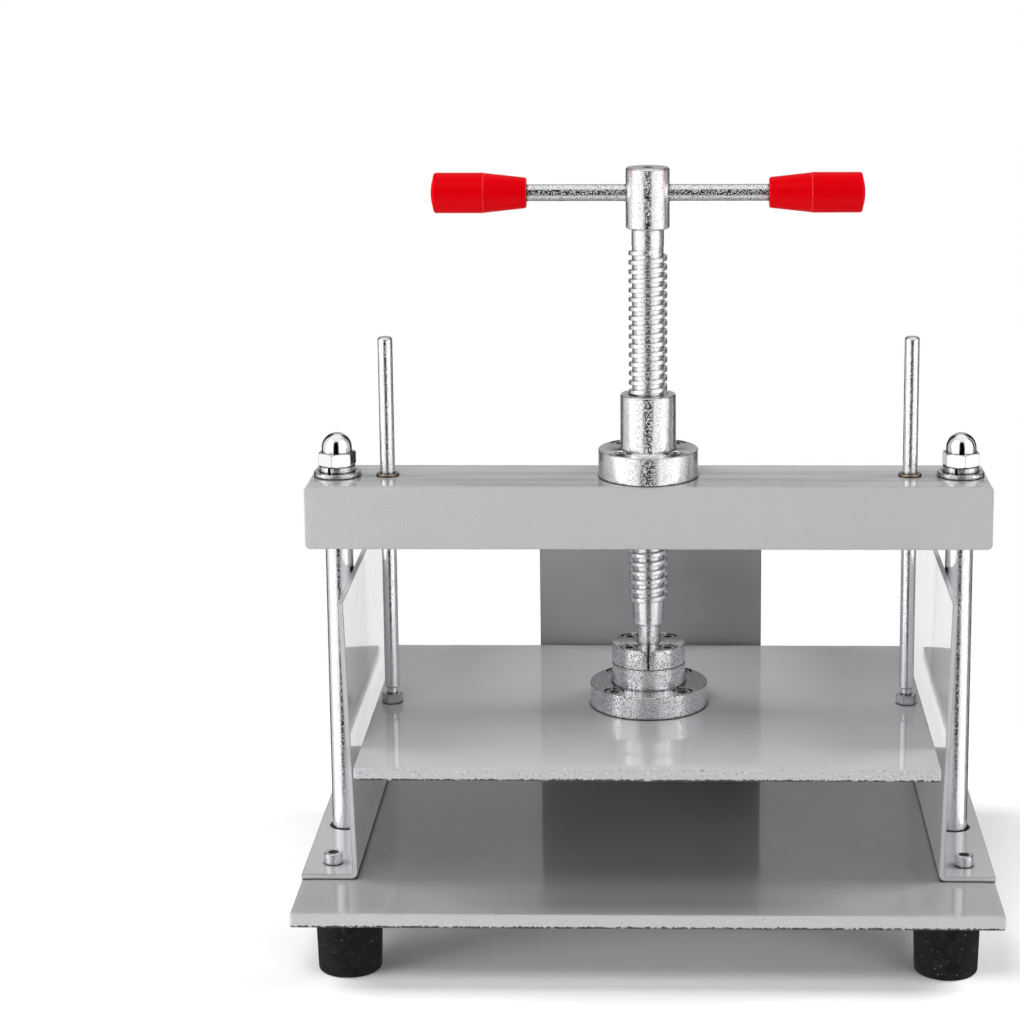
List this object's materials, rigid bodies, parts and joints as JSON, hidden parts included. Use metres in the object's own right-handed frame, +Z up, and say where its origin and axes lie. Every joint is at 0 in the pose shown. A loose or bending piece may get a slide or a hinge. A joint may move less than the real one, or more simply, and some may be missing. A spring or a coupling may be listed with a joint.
{
  "type": "flat press",
  "caption": "Bench press for flattening paper: a hand screw with a T handle drives a flat plate down between guides onto a base on rubber feet.",
  "frame": {"origin": "middle of the base's outline, on the surface that the rubber feet stand on", "axes": "+Z up, +X to the operator's right, +Y to the back; the press axis stands 13 mm in front of the origin"},
  "size_m": [0.367, 0.27, 0.4089],
  "materials": {
    "grey_enamel": "glossy light grey stove enamel with fine orange peel over thick steel plate",
    "pale_enamel": "glossy pale grey enamel on bent sheet",
    "turned_steel": "bright turned steel with fine tool marks",
    "ground_steel": "bright plated round bar",
    "thread_steel": "bright cut thread with an oil film",
    "zinc_fastener": "bright zinc plate",
    "nickel_nut": "polished nickel plate",
    "black_screw": "black oxide",
    "bronze": "turned bronze",
    "red_grip": "glossy moulded red plastic",
    "black_rubber": "satin black rubber"
  },
  "bodies": {
    "frame": {"base_plate": "grey_enamel", "rubber_foot_front_left": "black_rubber", "rubber_foot_front_right": "black_rubber", "rubber_foot_rear_left": "black_rubber", "rubber_foot_rear_right": "black_rubber", "foot_screws": "zinc_fastener", "side_guide_left": "pale_enamel", "side_guide_right": "pale_enamel", "back_guide": "pale_enamel", "side_guide_screws": "zinc_fastener", "back_guide_screws": "zinc_fastener", "column_left": "ground_steel", "column_right": "ground_steel", "column_bolts": "zinc_fastener", "beam": "grey_enamel", "guide_bush_left": "bronze", "guide_bush_right": "bronze", "flat_washers": "zinc_fastener", "spring_washers": "zinc_fastener", "acorn_nut_left": "nickel_nut", "acorn_nut_right": "nickel_nut", "screw_nut": "turned_steel", "nut_screws": "zinc_fastener"},
    "platen": {"press_plate": "grey_enamel", "socket_flange": "turned_steel", "socket_screws": "zinc_fastener", "thrust_pad": "bronze", "collar_half_left": "turned_steel", "collar_half_right": "turned_steel", "collar_screws": "zinc_fastener", "guide_rod_left": "ground_steel", "guide_rod_right": "ground_steel", "rod_lock_nuts": "zinc_fastener"},
    "screw": {"lead_screw": "thread_steel", "handle_hub": "turned_steel", "hub_set_screw": "black_screw", "handle_bar": "ground_steel", "grip_left": "red_grip", "grip_right": "red_grip"}
  },
  "joints": [
    {"name": "platen_slide", "type": "slide", "parent": "frame", "child": "platen", "axis": [0, 0, 1], "range_m": [-0.06652, 0.05502]},
    {"name": "screw_turn", "type": "hinge", "parent": "platen", "child": "screw", "pos_m": [0, -0.013, 0.15], "axis": [0, 0, 1], "range_deg": [-4788, 3960]}
  ],
  "couplings": [
    {"joint": "platen_slide", "follows": "screw_turn", "m_per_rad": 0.00079577}
  ]
}
